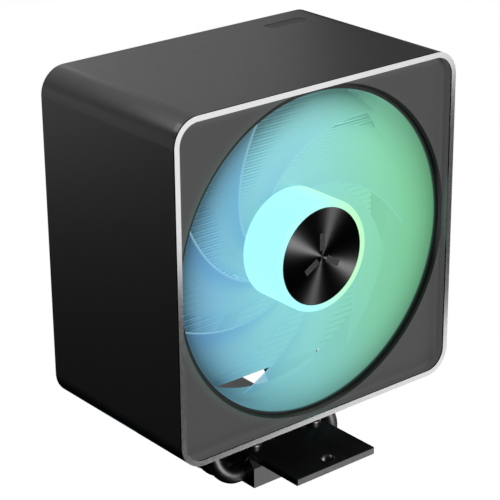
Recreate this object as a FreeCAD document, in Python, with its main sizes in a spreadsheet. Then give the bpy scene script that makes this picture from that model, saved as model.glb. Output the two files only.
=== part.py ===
"""Tower cooler for a processor: a fan and a fin stack on heat pipes, inside one square shroud.

Millimetres. The origin is under the middle of the base, +Z is up, and the fan faces -Y.
"""
import FreeCAD, Part
import Sketcher
import math
import os

Vector = FreeCAD.Vector
Rotation = FreeCAD.Rotation

DIMENSIONS = [
    # shroud, trim and front panel
    ("shroud_width", 126.0), ("shroud_depth", 76.0), ("shroud_bottom", 28.5), ("shroud_corner", 9.7),
    ("shroud_wall", 2.0), ("trim_depth", 0.6), ("panel_recess", 3.0), ("panel_thick", 1.0),
    ("intake_radius", 60.0), ("pipe_window_width", 84.0), ("pipe_window_front", -9.0),
    ("pipe_window_back", 34.0), ("pipe_window_corner", 4.0), ("edge_break", 0.35),
    # small plain badge near the back of the top
    ("badge_length", 18.0), ("badge_width", 5.0), ("badge_corner", 1.6), ("badge_across", 38.5),
    ("badge_along", 26.5), ("badge_depth", 0.4), ("badge_gap", 0.12), ("badge_sink", 0.13),
    # fan frame
    ("fan_size", 119.6), ("fan_depth", 25.0), ("fan_corner", 6.0), ("duct_radius", 58.8),
    ("flange_thick", 3.6), ("duct_wall", 0.9), ("screw_span", 105.0), ("stud_hole_radius", 2.2),
    ("stud_radius", 1.8), ("stud_length", 27.8), ("strut_width", 4.0), ("strut_thick", 2.6),
    ("seat_radius", 20.0), ("seat_thick", 2.6), ("washer_radius", 4.0), ("washer_thick", 0.8),
    ("nut_radius", 3.4), ("nut_thick", 2.2), ("strut_count", 4.0), ("strut_turn", 35.0),
    ("strut_seat_overlap", 2.0), ("strut_duct_overlap", 0.4),
    # rotor
    ("hub_radius", 20.5), ("hub_length", 25.2), ("hub_wall", 1.2), ("hub_round", 0.8),
    ("hub_sink", 0.15), ("cap_radius", 17.9), ("cap_thick", 0.8), ("cap_chamfer", 0.25),
    ("emblem_thick", 0.12), ("emblem_bars", 3.0), ("emblem_turn", 30.0), ("emblem_length", 6.4),
    ("emblem_width", 2.4), ("emblem_start", 2.4), ("blade_count", 7.0),
    ("blade_tip", 57.3), ("blade_root_front", 18.8), ("blade_tip_front", 19.2),
    ("blade_root_back", 24.7), ("blade_tip_back", 25.6), ("blade_camber", 0.10),
    ("blade_root_thick", 1.3), ("blade_tip_thick", 0.8), ("blade_root_span", 50.0),
    ("blade_tip_span", 39.0), ("blade_sweep", 1.08), ("blade_phase", 146.2),
    ("blade_edge_share", 0.35), ("blade_overlap", 0.7),
    ("yoke_wall", 0.8), ("yoke_length", 20.0), ("magnet_thick", 2.0),
    ("magnet_length", 14.0), ("boss_radius", 4.2), ("boss_length", 3.4), ("shaft_radius", 1.5),
    ("shaft_length", 24.0), ("shaft_front", 1.6), ("shaft_chamfer", 0.4), ("groove_place", 2.2),
    ("groove_depth", 0.4), ("groove_length", 0.8),
    # fixed side of the motor
    ("tube_outer", 4.4), ("tube_inner", 3.4), ("tube_length", 20.6), ("tube_floor", 0.8),
    ("sleeve_length", 14.0), ("sleeve_inset", 0.4), ("retainer_gap", 0.2),
    ("shaft_clearance", 0.05), ("stator_radius", 15.6), ("stator_length", 9.0), ("stator_front", 9.0),
    ("tooth_count", 4.0), ("tooth_width", 4.0), ("tooth_shoe", 1.6), ("tooth_gap", 3.0),
    ("core_ring", 3.0), ("insulator_thick", 0.7), ("coil_wall", 2.0), ("coil_round", 0.7),
    ("coil_overhang", 0.8), ("coil_inset", 0.4), ("coil_outset", 1.0), ("coil_gap", 0.15),
    ("board_radius", 18.9), ("board_thick", 0.8), ("board_front", 23.5), ("led_size", 2.0),
    ("led_height", 0.7), ("led_ring", 17.3), ("led_count", 12.0),
    # lead socket
    ("socket_width", 11.0), ("socket_height", 3.8), ("socket_depth", 2.8), ("socket_offset", 34.0),
    ("socket_wall", 0.6), ("socket_lift", 1.0), ("pin_pitch", 2.54), ("pin_side", 0.6),
    ("pin_count", 4.0), ("pin_sink", 0.3),
    # fins
    ("fin_width", 112.0), ("fin_depth", 41.5), ("fin_front", -5.5), ("fin_thick", 0.4),
    ("fin_pitch", 2.3), ("fin_count", 49.0), ("fin_lowest", 36.0), ("fin_corner", 5.0),
    ("tab_length", 8.0), ("tab_gap", 0.15), ("tab_front_share", 0.22), ("tab_back_share", 0.70),
    # heat pipes
    ("pipe_radius", 3.0), ("pipe_pitch", 7.2), ("pipe_count", 5.0), ("pipe_reach", 27.7),
    ("pipe_bend", 7.0), ("pipe_lean", 30.0), ("pipe_shift", 14.5), ("pipe_top", 150.0),
    ("pipe_upper_bend", 12.0), ("pipe_tip_share", 0.45), ("pipe_tip_length", 2.0),
    # base and mounting bar
    ("base_width", 37.4), ("base_length", 45.0), ("base_height", 10.9), ("base_chamfer", 3.0),
    ("bar_length", 92.8), ("bar_thick", 3.0), ("bar_hole_radius", 2.5), ("bar_hole_span", 83.6),
    ("bar_screw_across", 28.8), ("bar_screw_along", 34.4), ("bar_screw_radius", 1.5),
    ("bar_screw_length", 7.4), ("bar_screw_head", 2.9), ("bar_screw_head_height", 1.7),
    ("bar_screw_dome", 1.0), ("bar_screw_slot", 0.7), ("bar_screw_slot_length", 3.2),
    ("bar_screw_slot_depth", 1.0),
    # foam between fins and shroud
    ("foam_width", 9.0), ("foam_length", 88.0), ("foam_top_share", 0.7), ("foam_top_offset", 42.0),
]

NEAR = 1e-3          # two places closer than this are the same place
RIM_MARGIN = 0.2     # how far outside the shroud's inner wall its rim begins
CORNER_MARGIN = 5.0  # how far inside the square's corner its round corner reaches
RADIAL_STEPS = 7     # rows of points from a blade's root to its tip
CHORD_STEPS = 8      # points along a blade's chord
VOLUME_SLACK = 0.02  # a swept pipe may differ this much from its length times its section

doc = FreeCAD.newDocument("tower_cooler")
sheet = doc.addObject("Spreadsheet::Sheet", "dims")
for row, (alias, number) in enumerate(DIMENSIONS, start=1):
    sheet.set("A%d" % row, alias)
    sheet.set("B%d" % row, str(number))
    sheet.setAlias("B%d" % row, alias)
doc.recompute()

parts = []


def size(alias):
    """The value of one named cell."""
    return float(getattr(sheet, alias))


def cells(text):
    """An expression in which every dimension's name points at its cell."""
    for alias in sorted((name for name, _ in DIMENSIONS), key=len, reverse=True):
        text = text.replace("{%s}" % alias, "dims.%s" % alias)
    return text


# Places along the fan axis and across the shroud, all as expressions of the sheet
FRONT = "-{shroud_depth} / 2"
AXIS_HEIGHT = "{shroud_bottom} + {shroud_width} / 2"
PANEL_FRONT = FRONT + " + {panel_recess}"
FAN_FRONT = PANEL_FRONT + " + {panel_thick}"
FAN_BACK = FAN_FRONT + " + {fan_depth}"
SEAT_FRONT = FAN_BACK + " - {seat_thick}"
front = -size("shroud_depth") / 2
axis_height = size("shroud_bottom") + size("shroud_width") / 2
fan_front = front + size("panel_recess") + size("panel_thick")
fan_back = fan_front + size("fan_depth")
axis_point = Vector(0, 0, axis_height)
inner_half_width = size("shroud_width") / 2 - size("shroud_wall")


def bind(item, **expressions):
    """Tie properties of an object to the sheet; double underscores stand for dots."""
    for name, text in expressions.items():
        item.setExpression(name.replace("__", "."), cells(text))


def keep(item, name):
    """Name an object as one of the finished pieces."""
    item.Label = name
    parts.append(item)
    return item


# ---------------------------------------------------------------- helpers: PartDesign

def origin_plane(body, role):
    return next(feature for feature in body.Origin.OriginFeatures if feature.Role == role)


def new_sketch(body, name, role, along="0", up="0"):
    """A sketch on an origin plane, moved along the plane's normal and up its own Y axis."""
    sketch = body.newObject("Sketcher::SketchObject", name)
    sketch.AttachmentSupport = (origin_plane(body, role), [""])
    sketch.MapMode = "FlatFace"
    bind(sketch, AttachmentOffset__Base__z=along, AttachmentOffset__Base__y=up)
    return sketch


def constrain(sketch, kind, *where):
    return sketch.addConstraint(Sketcher.Constraint(kind, *where))


def measured(sketch, expression, kind, *where):
    """A dimension whose value comes from the sheet."""
    index = constrain(sketch, kind, *where)
    sketch.setExpression("Constraints[%d]" % index, cells(expression))


def add_circle(sketch, radius, across=None, up=None, guess=(0, 0)):
    """A circle at the sketch's origin, or at a place given by two expressions."""
    circle = Part.Circle(Vector(guess[0], guess[1], 0), Vector(0, 0, 1), 1.0)
    number = sketch.addGeometry(circle, False)
    measured(sketch, radius, "Radius", number, 1.0)
    if across is None:
        constrain(sketch, "Coincident", number, 3, -1, 1)
    else:
        measured(sketch, across, "DistanceX", -1, 1, number, 3, guess[0])
        measured(sketch, up, "DistanceY", -1, 1, number, 3, guess[1])
    return number


def add_rectangle(sketch, width, height, guess=(10.0, 10.0)):
    """A rectangle centred on the sketch's origin."""
    half_w, half_h = guess[0] / 2, guess[1] / 2
    corners = [Vector(-half_w, -half_h, 0), Vector(half_w, -half_h, 0),
               Vector(half_w, half_h, 0), Vector(-half_w, half_h, 0)]
    first = None
    for index in range(4):
        line = Part.LineSegment(corners[index], corners[(index + 1) % 4])
        number = sketch.addGeometry(line, False)
        first = number if first is None else first
    for index in range(4):
        constrain(sketch, "Coincident", first + index, 2, first + (index + 1) % 4, 1)
    constrain(sketch, "Horizontal", first)
    constrain(sketch, "Horizontal", first + 2)
    constrain(sketch, "Vertical", first + 1)
    constrain(sketch, "Vertical", first + 3)
    constrain(sketch, "Symmetric", first, 1, first + 1, 2, -1, 1)
    measured(sketch, width, "DistanceX", first, 1, first, 2, guess[0])
    measured(sketch, height, "DistanceY", first + 1, 1, first + 1, 2, guess[1])
    return first


def add_rounded_rectangle(sketch, width, height, radius, guess=(60.0, 60.0, 6.0)):
    """A rectangle with round corners, centred on the sketch's origin."""
    half_w, half_h, r = guess[0] / 2, guess[1] / 2, guess[2]
    ends = [(-half_w + r, -half_h), (half_w - r, -half_h), (half_w, -half_h + r), (half_w, half_h - r),
            (half_w - r, half_h), (-half_w + r, half_h), (-half_w, half_h - r), (-half_w, -half_h + r)]
    ends = [Vector(x, y, 0) for x, y in ends]
    centres = [(half_w - r, -half_h + r), (half_w - r, half_h - r),
               (-half_w + r, half_h - r), (-half_w + r, -half_h + r)]
    first = None
    for side in range(4):
        number = sketch.addGeometry(Part.LineSegment(ends[2 * side], ends[2 * side + 1]), False)
        first = number if first is None else first
        start = -math.pi / 2 + side * math.pi / 2
        circle = Part.Circle(Vector(centres[side][0], centres[side][1], 0), Vector(0, 0, 1), r)
        sketch.addGeometry(Part.ArcOfCircle(circle, start, start + math.pi / 2), False)
    for index in range(8):
        constrain(sketch, "Tangent", first + index, 2, first + (index + 1) % 8, 1)
    for side, direction in enumerate(("Horizontal", "Vertical", "Horizontal", "Vertical")):
        constrain(sketch, direction, first + 2 * side)
    for corner in (3, 5, 7):
        constrain(sketch, "Equal", first + 1, first + corner)
    constrain(sketch, "Symmetric", first + 7, 3, first + 3, 3, -1, 1)
    measured(sketch, radius, "Radius", first + 1, r)
    measured(sketch, width, "DistanceX", first + 6, 1, first + 2, 1, guess[0])
    measured(sketch, height, "DistanceY", first, 1, first + 4, 1, guess[1])
    return first


def pad(body, name, sketch, length):
    feature = body.newObject("PartDesign::Pad", name)
    feature.Profile = sketch
    bind(feature, Length=length)
    doc.recompute()
    return feature


def pocket(body, name, sketch, length, reverse=False):
    """A pocket that has to take material away."""
    before = body.Shape.Volume
    feature = body.newObject("PartDesign::Pocket", name)
    feature.Profile = sketch
    feature.Reversed = reverse
    bind(feature, Length=length)
    doc.recompute()
    if body.Shape.Volume >= before - NEAR:
        raise RuntimeError("pocket %s cuts nothing" % name)
    return feature


def dress(body, kind, name, edges, expression):
    """A chamfer or fillet on the listed edges of the body's last feature."""
    previous = body.Tip
    feature = body.newObject("PartDesign::" + kind, name)
    feature.Base = (previous, edges)
    bind(feature, **{"Size" if kind == "Chamfer" else "Radius": expression})
    doc.recompute()
    return feature


def edges_where(shape, test):
    """Names of the edges whose every sampled point passes the test."""
    names = []
    for number, edge in enumerate(shape.Edges, start=1):
        points = edge.discretize(5)
        if all(test(point) for point in points):
            names.append("Edge%d" % number)
    return names


# ---------------------------------------------------------------- helpers: Part primitives

def along_y(item, radius, length, start, across="0", up=AXIS_HEIGHT):
    """Set up a cylinder that runs along +Y from start."""
    item.Placement = FreeCAD.Placement(Vector(0, 0, 0), Rotation(Vector(1, 0, 0), -90))
    bind(item, Radius=radius, Height=length, Placement__Base__x=across,
         Placement__Base__y=start, Placement__Base__z=up)
    return item


def disc(name, radius, length, start, across="0", up=AXIS_HEIGHT):
    return along_y(doc.addObject("Part::Cylinder", name), radius, length, start, across, up)


def block(name, length, width, height, across, along, up):
    """A box given by its three sizes and its lowest corner."""
    item = doc.addObject("Part::Box", name)
    bind(item, Length=length, Width=width, Height=height, Placement__Base__x=across,
         Placement__Base__y=along, Placement__Base__z=up)
    return item


def cut(name, base, tool):
    item = doc.addObject("Part::Cut", name)
    item.Base = base
    item.Tool = tool
    return item


def fuse(name, shapes):
    item = doc.addObject("Part::MultiFuse", name)
    item.Shapes = shapes
    item.Refine = True
    return item


def ring(name, outer, inner, length, start, up=AXIS_HEIGHT):
    """A tube round the fan axis."""
    return cut(name, disc(name + "_outer", outer, length, start, up=up),
               disc(name + "_inner", inner, length, start, up=up))


def solid_feature(name, shape, placement=None):
    """A piece whose shape is built directly from the sheet's values."""
    item = doc.addObject("Part::Feature", name)
    item.Shape = shape
    if placement is not None:
        item.Placement = placement
    return item


def copies(name, template, places):
    """One group of separate solids: the template's shape at each placement."""
    doc.recompute()
    solids = []
    for place in places:
        solid = template.Shape.copy()
        solid.Placement = place.multiply(solid.Placement)
        solids.append(solid)
    return solid_feature(name, Part.makeCompound(solids))


def around_axis(degrees):
    """A turn about the fan axis."""
    return FreeCAD.Placement(Vector(0, 0, 0), Rotation(Vector(0, 1, 0), degrees), axis_point)


# ---------------------------------------------------------------- shroud, trim, front panel

def badge_prism(shrink, top, bottom):
    """A prism with round corners at the badge's place, between two depths below the shroud's top."""
    length = size("badge_length") - 2 * shrink
    width = size("badge_width") - 2 * shrink
    ceiling = size("shroud_bottom") + size("shroud_width")
    prism = Part.makeBox(length, width, bottom - top,
                         Vector(size("badge_across") - length / 2, size("badge_along") - width / 2,
                                ceiling - bottom))
    upright = [edge for edge in prism.Edges if abs(edge.tangentAt(edge.FirstParameter).z) > 0.9]
    return prism.makeFillet(size("badge_corner") - shrink, upright)


def make_shroud():
    body = doc.addObject("PartDesign::Body", "shroud_body")
    outline = new_sketch(body, "shroud_outline", "XZ_Plane", "-{shroud_depth} / 2", AXIS_HEIGHT)
    add_rounded_rectangle(outline, "{shroud_width}", "{shroud_width}", "{shroud_corner}")
    pad(body, "shroud_block", outline, "{shroud_depth} - {trim_depth}")
    inside = new_sketch(body, "shroud_inside", "XZ_Plane", "{shroud_depth} / 2", AXIS_HEIGHT)
    add_rounded_rectangle(inside, "{shroud_width} - 2 * {shroud_wall}", "{shroud_width} - 2 * {shroud_wall}",
                          "{shroud_corner} - {shroud_wall}")
    pocket(body, "shroud_hollow", inside, "2 * {shroud_depth}")
    window = new_sketch(body, "pipe_window", "XY_Plane", "{shroud_bottom} + {shroud_wall}",
                        "({pipe_window_front} + {pipe_window_back}) / 2")
    add_rounded_rectangle(window, "{pipe_window_width}", "{pipe_window_back} - {pipe_window_front}",
                          "{pipe_window_corner}")
    pocket(body, "window_cut", window, "2 * {shroud_wall}")
    back = size("shroud_depth") / 2

    def outer_back(point):
        on_back = abs(point.y - back) < NEAR
        rim = max(abs(point.x), abs(point.z - axis_height)) > inner_half_width + RIM_MARGIN
        corner = abs(point.x) + abs(point.z - axis_height) > 2 * inner_half_width - CORNER_MARGIN
        return on_back and (rim or corner)
    edges = edges_where(body.Shape, outer_back)
    dress(body, "Chamfer", "back_edge_break", edges, "{edge_break}")
    well = solid_feature("badge_well", badge_prism(0, -1, size("badge_depth")))
    return keep(cut("shroud_piece", body, well), "shroud")


def make_top_badge():
    """A plain inlay that stands a hair below the top."""
    inlay = badge_prism(size("badge_gap"), size("badge_sink"), size("badge_depth"))
    return keep(solid_feature("badge_inlay", inlay), "top_badge")


def make_front_trim():
    body = doc.addObject("PartDesign::Body", "trim_body")
    outline = new_sketch(body, "trim_outline", "XZ_Plane", "{shroud_depth} / 2 - {trim_depth}", AXIS_HEIGHT)
    add_rounded_rectangle(outline, "{shroud_width}", "{shroud_width}", "{shroud_corner}")
    add_rounded_rectangle(outline, "{shroud_width} - 2 * {shroud_wall}", "{shroud_width} - 2 * {shroud_wall}",
                          "{shroud_corner} - {shroud_wall}")
    pad(body, "trim_band", outline, "{trim_depth}")
    return keep(body, "front_trim")


def make_front_panel():
    """The plate with the intake, and four studs on its back that carry the fan."""
    body = doc.addObject("PartDesign::Body", "panel_body")
    outline = new_sketch(body, "panel_outline", "XZ_Plane",
                         "{shroud_depth} / 2 - {panel_recess} - {panel_thick}", AXIS_HEIGHT)
    add_rounded_rectangle(outline, "{shroud_width} - 2 * {shroud_wall}", "{shroud_width} - 2 * {shroud_wall}",
                          "{shroud_corner} - {shroud_wall}")
    add_circle(outline, "{intake_radius}")
    pad(body, "panel_plate", outline, "{panel_thick}")
    studs = new_sketch(body, "stud_circles", "XZ_Plane",
                       "{shroud_depth} / 2 - {panel_recess} - {panel_thick} - {stud_length}", AXIS_HEIGHT)
    half = size("screw_span") / 2
    for side_x in (-1, 1):
        for side_z in (-1, 1):
            add_circle(studs, "{stud_radius}", "%d * {screw_span} / 2" % side_x,
                       "%d * {screw_span} / 2" % side_z, (side_x * half, side_z * half))
    pad(body, "studs", studs, "{stud_length} + {panel_thick} / 2")
    return keep(body, "front_panel")


# ---------------------------------------------------------------- fan frame and its fixing

def make_fan_frame():
    """Two square flanges joined by the round duct, with struts that carry the motor's seat."""
    body = doc.addObject("PartDesign::Body", "frame_body")
    front_offset = "-(" + FAN_FRONT + ")"
    half = size("screw_span") / 2

    def flange(name, offset):
        outline = new_sketch(body, name, "XZ_Plane", offset, AXIS_HEIGHT)
        add_rounded_rectangle(outline, "{fan_size}", "{fan_size}", "{fan_corner}")
        add_circle(outline, "{duct_radius}")
        for side_x in (-1, 1):
            for side_z in (-1, 1):
                add_circle(outline, "{stud_hole_radius}", "%d * {screw_span} / 2" % side_x,
                           "%d * {screw_span} / 2" % side_z, (side_x * half, side_z * half))
        return outline
    pad(body, "front_flange", flange("front_flange_outline", front_offset + " - {flange_thick}"),
        "{flange_thick}")
    duct = new_sketch(body, "duct_outline", "XZ_Plane", front_offset + " - {fan_depth}", AXIS_HEIGHT)
    add_circle(duct, "{duct_radius}")
    add_circle(duct, "{duct_radius} + {duct_wall}")
    pad(body, "duct", duct, "{fan_depth}")
    pad(body, "back_flange", flange("back_flange_outline", front_offset + " - {fan_depth}"),
        "{flange_thick}")
    seat = disc("motor_seat", "{seat_radius}", "{seat_thick}", SEAT_FRONT)
    struts = []
    count = int(size("strut_count"))
    start = size("seat_radius") - size("strut_seat_overlap")
    for number in range(count):
        strut = doc.addObject("Part::Box", "strut_%d" % number)
        turn = Rotation(Vector(0, 1, 0), size("strut_turn") + 360.0 * number / count)
        strut.Placement = FreeCAD.Placement(
            axis_point + turn.multVec(Vector(start, 0, -size("strut_width") / 2))
            + Vector(0, fan_back - size("strut_thick"), 0), turn)
        bind(strut, Width="{strut_thick}", Height="{strut_width}",
             Length="{duct_radius} - {seat_radius} + {strut_seat_overlap} + {strut_duct_overlap}")
        struts.append(strut)
    tube_hole = disc("tube_hole", "{tube_outer}", "2 * {seat_thick}", SEAT_FRONT + " - {seat_thick} / 2")
    return keep(cut("frame_piece", fuse("frame_solids", [body, seat] + struts), tube_hole), "fan_frame")


def corner_places(y):
    """The four fan corners at a depth y."""
    half = size("screw_span") / 2
    return [FreeCAD.Placement(Vector(x, y, axis_height + z), Rotation())
            for x in (-half, half) for z in (-half, half)]


def make_fan_washers():
    turn = FreeCAD.Placement(Vector(0, 0, 0), Rotation(Vector(1, 0, 0), -90))
    outer = Part.makeCylinder(size("washer_radius"), size("washer_thick"))
    bore = Part.makeCylinder(size("stud_radius"), size("washer_thick"))
    washer = solid_feature("one_washer", outer.cut(bore), turn)
    return keep(copies("washers", washer, corner_places(fan_back)), "fan_washers")


def make_fan_nuts():
    turn = FreeCAD.Placement(Vector(0, 0, 0), Rotation(Vector(1, 0, 0), -90))
    corners = [Vector(size("nut_radius") * math.cos(math.radians(60 * step)),
                      size("nut_radius") * math.sin(math.radians(60 * step)), 0) for step in range(7)]
    hexagon = Part.Face(Part.makePolygon(corners)).extrude(Vector(0, 0, size("nut_thick")))
    thread = Part.makeCylinder(size("stud_radius"), size("nut_thick"))
    nut = solid_feature("one_nut", hexagon.cut(thread), turn)
    return keep(copies("nuts", nut, corner_places(fan_back + size("washer_thick"))), "fan_nuts")


# ---------------------------------------------------------------- rotor

def blade_angle(radius):
    """The leading edge follows a logarithmic spiral, clockwise as it goes out (seen from the front)."""
    swept = size("blade_sweep") * math.log(size("blade_tip") / radius)
    return math.radians(size("blade_phase")) + swept


def blade_point(radius, chord, face):
    """A point of the blade: chord 0 at the leading edge to 1 at the trailing edge, face -1 or 1."""
    share = (radius - size("hub_radius")) / (size("blade_tip") - size("hub_radius"))

    def between(kind):
        """A size that changes evenly from the blade's root to its tip."""
        root, tip = size("blade_root_" + kind), size("blade_tip_" + kind)
        return root + share * (tip - root)
    fall = between("back") - between("front")
    camber = size("blade_camber") * math.sin(math.pi * chord) * fall
    depth = front + between("front") + chord * fall + camber
    thick = between("thick")
    edge = size("blade_edge_share")
    taper = edge + (1 - edge) * math.sin(math.pi * chord)
    angle = blade_angle(radius) + math.radians(between("span")) * chord
    return Vector(radius * math.cos(angle), depth + face * thick * taper / 2,
                  axis_height + radius * math.sin(angle))


def make_blade():
    """One blade as a closed solid between two smooth surfaces."""
    start = size("hub_radius") - size("blade_overlap")
    radii = [start + step / RADIAL_STEPS * (size("blade_tip") - start)
             for step in range(RADIAL_STEPS + 1)]
    chords = [step / CHORD_STEPS for step in range(CHORD_STEPS + 1)]
    faces = []
    borders = []
    for face in (-1, 1):
        surface = Part.BSplineSurface()
        surface.interpolate([[blade_point(radius, chord, face) for chord in chords] for radius in radii])
        shape = surface.toShape()
        faces.append(shape.Faces[0])
        first_u, last_u, first_v, last_v = surface.bounds()
        borders.append([surface.uIso(first_u), surface.uIso(last_u), surface.vIso(first_v),
                        surface.vIso(last_v)])
    for low, high in zip(*borders):
        faces.append(Part.makeRuledSurface(low.toShape(), high.toShape()))
    shell = Part.makeShell(faces)
    shell.sewShape()
    solid = Part.Solid(shell)
    if solid.Volume < 0:
        solid.reverse()
    return solid


def revolved(profile):
    """A solid turned round the fan axis from (radius, depth behind the front plane) points."""
    points = [Vector(radius, front + depth, axis_height) for radius, depth in profile]
    face = Part.Face(Part.makePolygon(points + points[:1]))
    return face.revolve(axis_point, Vector(0, 1, 0), 360)


def make_impeller():
    """Hub shell, centre boss and blades, moulded in one."""
    outer, wall, edge = size("hub_radius"), size("hub_wall"), size("hub_round")
    lip, cap = size("cap_radius"), size("cap_thick")
    shaft, boss = size("shaft_radius"), size("boss_radius")
    sink = size("hub_sink")
    bow = edge * (1 - math.sqrt(0.5))
    floor = cap + wall
    boss_end = floor + size("boss_length")
    length = size("hub_length")
    hub = revolved([
        (0, cap), (lip, cap), (lip, sink), (outer - edge, sink), (outer - bow, sink + bow),
        (outer, sink + edge), (outer, length), (outer - wall, length), (outer - wall, floor),
        (boss, floor), (boss, boss_end), (shaft, boss_end), (shaft, size("shaft_front")),
        (0, size("shaft_front"))])
    blades = [make_blade()]
    count = int(size("blade_count"))
    for number in range(1, count):
        blade = blades[0].copy()
        blade.rotate(axis_point, Vector(0, 1, 0), 360.0 * number / count)
        blades.append(blade)
    shape = hub.multiFuse(blades)
    inside = Vector(0, front + floor, axis_height)
    hollow = Part.makeCylinder(outer - wall, 2 * length, inside, Vector(0, 1, 0))
    keep_boss = Part.makeCylinder(boss, boss_end, Vector(0, front, axis_height), Vector(0, 1, 0))
    return keep(solid_feature("impeller_piece", shape.cut(hollow.cut(keep_boss))), "impeller")


def make_hub_cap():
    lip, thick, chamfer = size("cap_radius"), size("cap_thick"), size("cap_chamfer")
    return keep(solid_feature("cap_piece", revolved(
        [(0, 0), (lip - chamfer, 0), (lip, chamfer), (lip, thick), (0, thick)])), "hub_cap")


def make_cap_emblem():
    """Three short bars that point at the middle: a plain mark, raised a hair above the cap."""
    thick, width = size("emblem_thick"), size("emblem_width")
    count = int(size("emblem_bars"))
    bars = []
    for number in range(count):
        bar = Part.makeBox(size("emblem_length"), thick, width,
                           Vector(size("emblem_start"), front - thick, axis_height - width / 2))
        bar.rotate(axis_point, Vector(0, 1, 0), size("emblem_turn") + 360.0 * number / count)
        bars.append(bar)
    return keep(solid_feature("emblem_bars", Part.makeCompound(bars)), "cap_emblem")


def make_rotor_yoke():
    """A steel cup pressed into the hub."""
    outer, wall = size("hub_radius") - size("hub_wall"), size("yoke_wall")
    floor = size("cap_thick") + size("hub_wall")
    length = floor + size("yoke_length")
    return keep(solid_feature("yoke_piece", revolved(
        [(size("boss_radius"), floor), (outer, floor), (outer, length), (outer - wall, length),
         (outer - wall, floor + wall), (size("boss_radius"), floor + wall)])), "rotor_yoke")


def make_rotor_magnet():
    start = FRONT + " + {cap_thick} + {hub_wall} + {yoke_length} - {magnet_length}"
    outer = "{hub_radius} - {hub_wall} - {yoke_wall}"
    return keep(ring("magnet", outer, outer + " - {magnet_thick}", "{magnet_length}", start), "rotor_magnet")


def make_rotor_shaft():
    """The steel shaft, with a groove near its end for the retainer."""
    radius, start, chamfer = size("shaft_radius"), size("shaft_front"), size("shaft_chamfer")
    end = start + size("shaft_length")
    groove = end - size("groove_place")
    groove_end = groove + size("groove_length")
    neck = radius - size("groove_depth")
    return keep(solid_feature("shaft_piece", revolved(
        [(0, start), (radius, start), (radius, groove), (neck, groove), (neck, groove_end),
         (radius, groove_end), (radius, end - chamfer), (radius - chamfer, end), (0, end)])), "rotor_shaft")


# ---------------------------------------------------------------- fixed side of the motor

def make_bearing_parts():
    back = fan_back - front
    tube_front = back - size("tube_length")
    inner, outer = size("tube_inner"), size("tube_outer")
    running = size("shaft_radius") + size("shaft_clearance")
    floor = back - size("tube_floor")
    keep(solid_feature("tube_piece", revolved(
        [(inner, tube_front), (outer, tube_front), (outer, back), (0, back), (0, floor),
         (inner, floor)])), "bearing_tube")
    sleeve_front = tube_front + size("sleeve_inset")
    sleeve_back = sleeve_front + size("sleeve_length")
    keep(solid_feature("sleeve_piece", revolved(
        [(running, sleeve_front), (inner, sleeve_front), (inner, sleeve_back), (running, sleeve_back)])),
        "sleeve_bearing")
    groove = size("shaft_front") + size("shaft_length") - size("groove_place")
    free = size("shaft_radius") - size("groove_depth") + size("shaft_clearance")
    near = groove + size("retainer_gap")
    far = groove + size("groove_length") - size("retainer_gap")
    keep(solid_feature("retainer_piece", revolved(
        [(free, near), (inner, near), (inner, far), (free, far)])), "shaft_retainer")
    shaft_end = size("shaft_front") + size("shaft_length") + size("shaft_clearance")
    keep(solid_feature("thrust_piece", revolved(
        [(0, shaft_end), (inner, shaft_end), (inner, floor), (0, floor)])), "thrust_pad")


def stator_outline(length, start, radius, tooth, shoe):
    """A lamination stack as one solid: a ring, and teeth that end in curved shoes."""
    start_point = Vector(0, front + start, axis_height)
    axis = Vector(0, 1, 0)
    inner, open_width = size("tube_outer"), size("tooth_gap")
    core = Part.makeCylinder(inner + size("core_ring"), length, start_point, axis)
    count = int(size("tooth_count"))
    pitch = 360.0 / count
    for number in range(count):
        arm = Part.makeBox(radius - shoe / 2 - inner, length, tooth,
                           Vector(inner, front + start, axis_height - tooth / 2))
        arm.rotate(axis_point, axis, pitch * (number + 0.5))
        core = core.fuse(arm)
    rim = Part.makeCylinder(radius, length, start_point, axis)
    rim = rim.cut(Part.makeCylinder(radius - shoe, length, start_point, axis))
    for number in range(count):
        gap = Part.makeBox(2 * radius, length, open_width,
                           Vector(0, front + start, axis_height - open_width / 2))
        gap.rotate(axis_point, axis, pitch * number)
        rim = rim.cut(gap)
    shape = core.fuse(rim).removeSplitter()
    return shape.cut(Part.makeCylinder(inner, length, start_point, axis))


def make_stator():
    length, start = size("stator_length"), size("stator_front")
    radius, tooth, shoe = size("stator_radius"), size("tooth_width"), size("tooth_shoe")
    keep(solid_feature("core_piece", stator_outline(length, start, radius, tooth, shoe)), "stator_core")
    thick = size("insulator_thick")
    ends = [stator_outline(thick, start - thick, radius, tooth, shoe),
            stator_outline(thick, start + length, radius, tooth, shoe)]
    keep(solid_feature("insulator_pair", Part.makeCompound(ends)), "stator_insulators")
    wall, over, gap = size("coil_wall"), size("coil_overhang"), size("coil_gap")
    inner_end = size("tube_outer") + size("core_ring") + size("coil_inset")
    outer_end = radius - shoe - size("coil_outset")
    count = int(size("tooth_count"))
    turn = 360.0 / count
    # neighbouring coils would meet near the middle, so each keeps to its own quarter
    corner = Vector(gap, front, axis_height + gap)
    quarter = Part.makeBox(2 * radius, size("shroud_depth"), 2 * radius, corner)
    coils = []
    for number in range(count):
        core = Part.makeBox(outer_end - inner_end, length + 2 * thick, tooth,
                            Vector(inner_end, front + start - thick, axis_height - tooth / 2))
        coil = Part.makeBox(outer_end - inner_end, length + 2 * (thick + over), tooth + 2 * wall,
                            Vector(inner_end, front + start - thick - over, axis_height - tooth / 2 - wall))
        along_tooth = [edge for edge in coil.Edges if abs(edge.tangentAt(0).x) > 0.9]
        coil = coil.makeFillet(size("coil_round"), along_tooth).cut(core)
        coil.rotate(axis_point, Vector(0, 1, 0), turn * (number + 0.5))
        sector = quarter.copy()
        sector.rotate(axis_point, Vector(0, 1, 0), turn * (number + 1))
        coils.append(coil.common(sector))
    keep(solid_feature("coil_group", Part.makeCompound(coils)), "stator_windings")


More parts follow.
